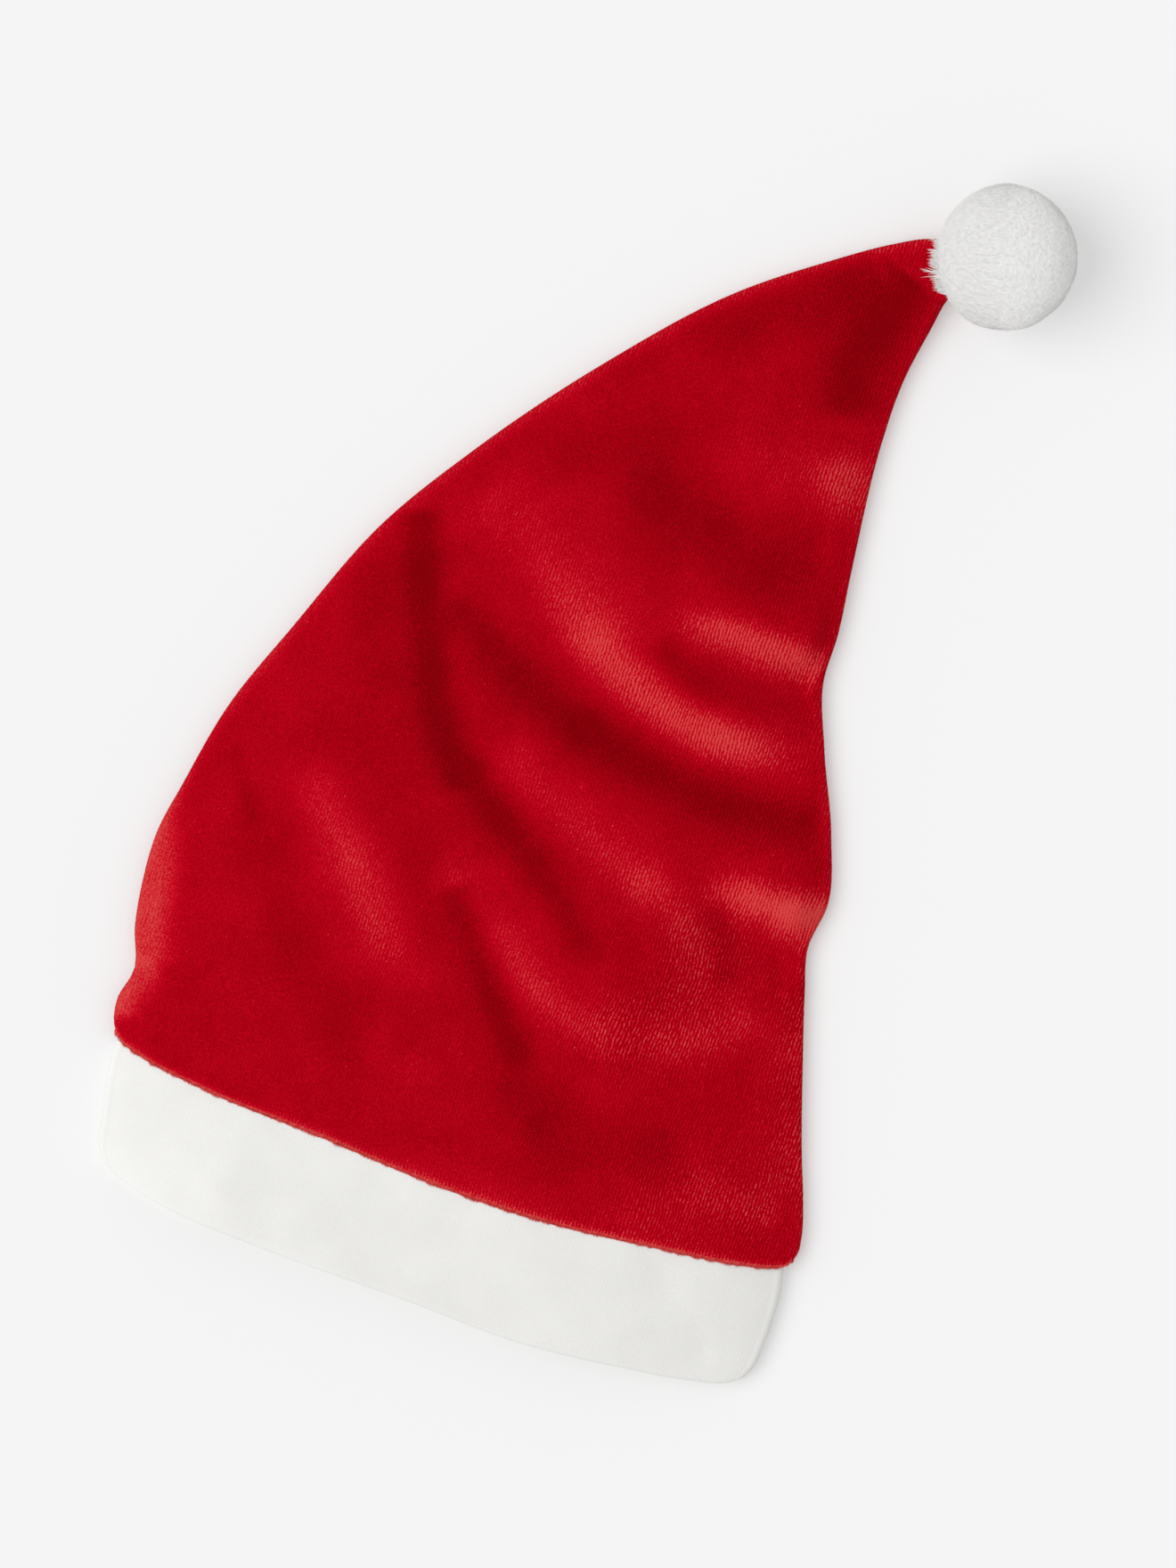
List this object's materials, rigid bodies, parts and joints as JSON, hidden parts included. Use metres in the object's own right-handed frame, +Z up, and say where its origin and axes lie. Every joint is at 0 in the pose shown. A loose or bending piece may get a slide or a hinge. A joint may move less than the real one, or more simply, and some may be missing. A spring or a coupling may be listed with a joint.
{
  "type": "baby hat",
  "caption": "Soft baby hat laid flat: a red velour body curving to a point at the side, a folded white velour band round the opening and a white fluffy ball at the tip.",
  "frame": {"origin": "middle of the bounding box's base, on the surface that the hat lies on", "axes": "+X along the opening's edge, +Y from the opening to the tip, +Z up from the surface that the hat lies on"},
  "size_m": [0.208, 0.3532, 0.041],
  "materials": {
    "red_velour": "matt velour with a soft sheen",
    "white_velour": "matt velour",
    "white_fur": "matt short fur"
  },
  "bodies": {
    "root": {"front_panel": "red_velour", "back_panel": "red_velour", "band": "white_velour", "pompom": "white_fur"}
  },
  "joints": []
}
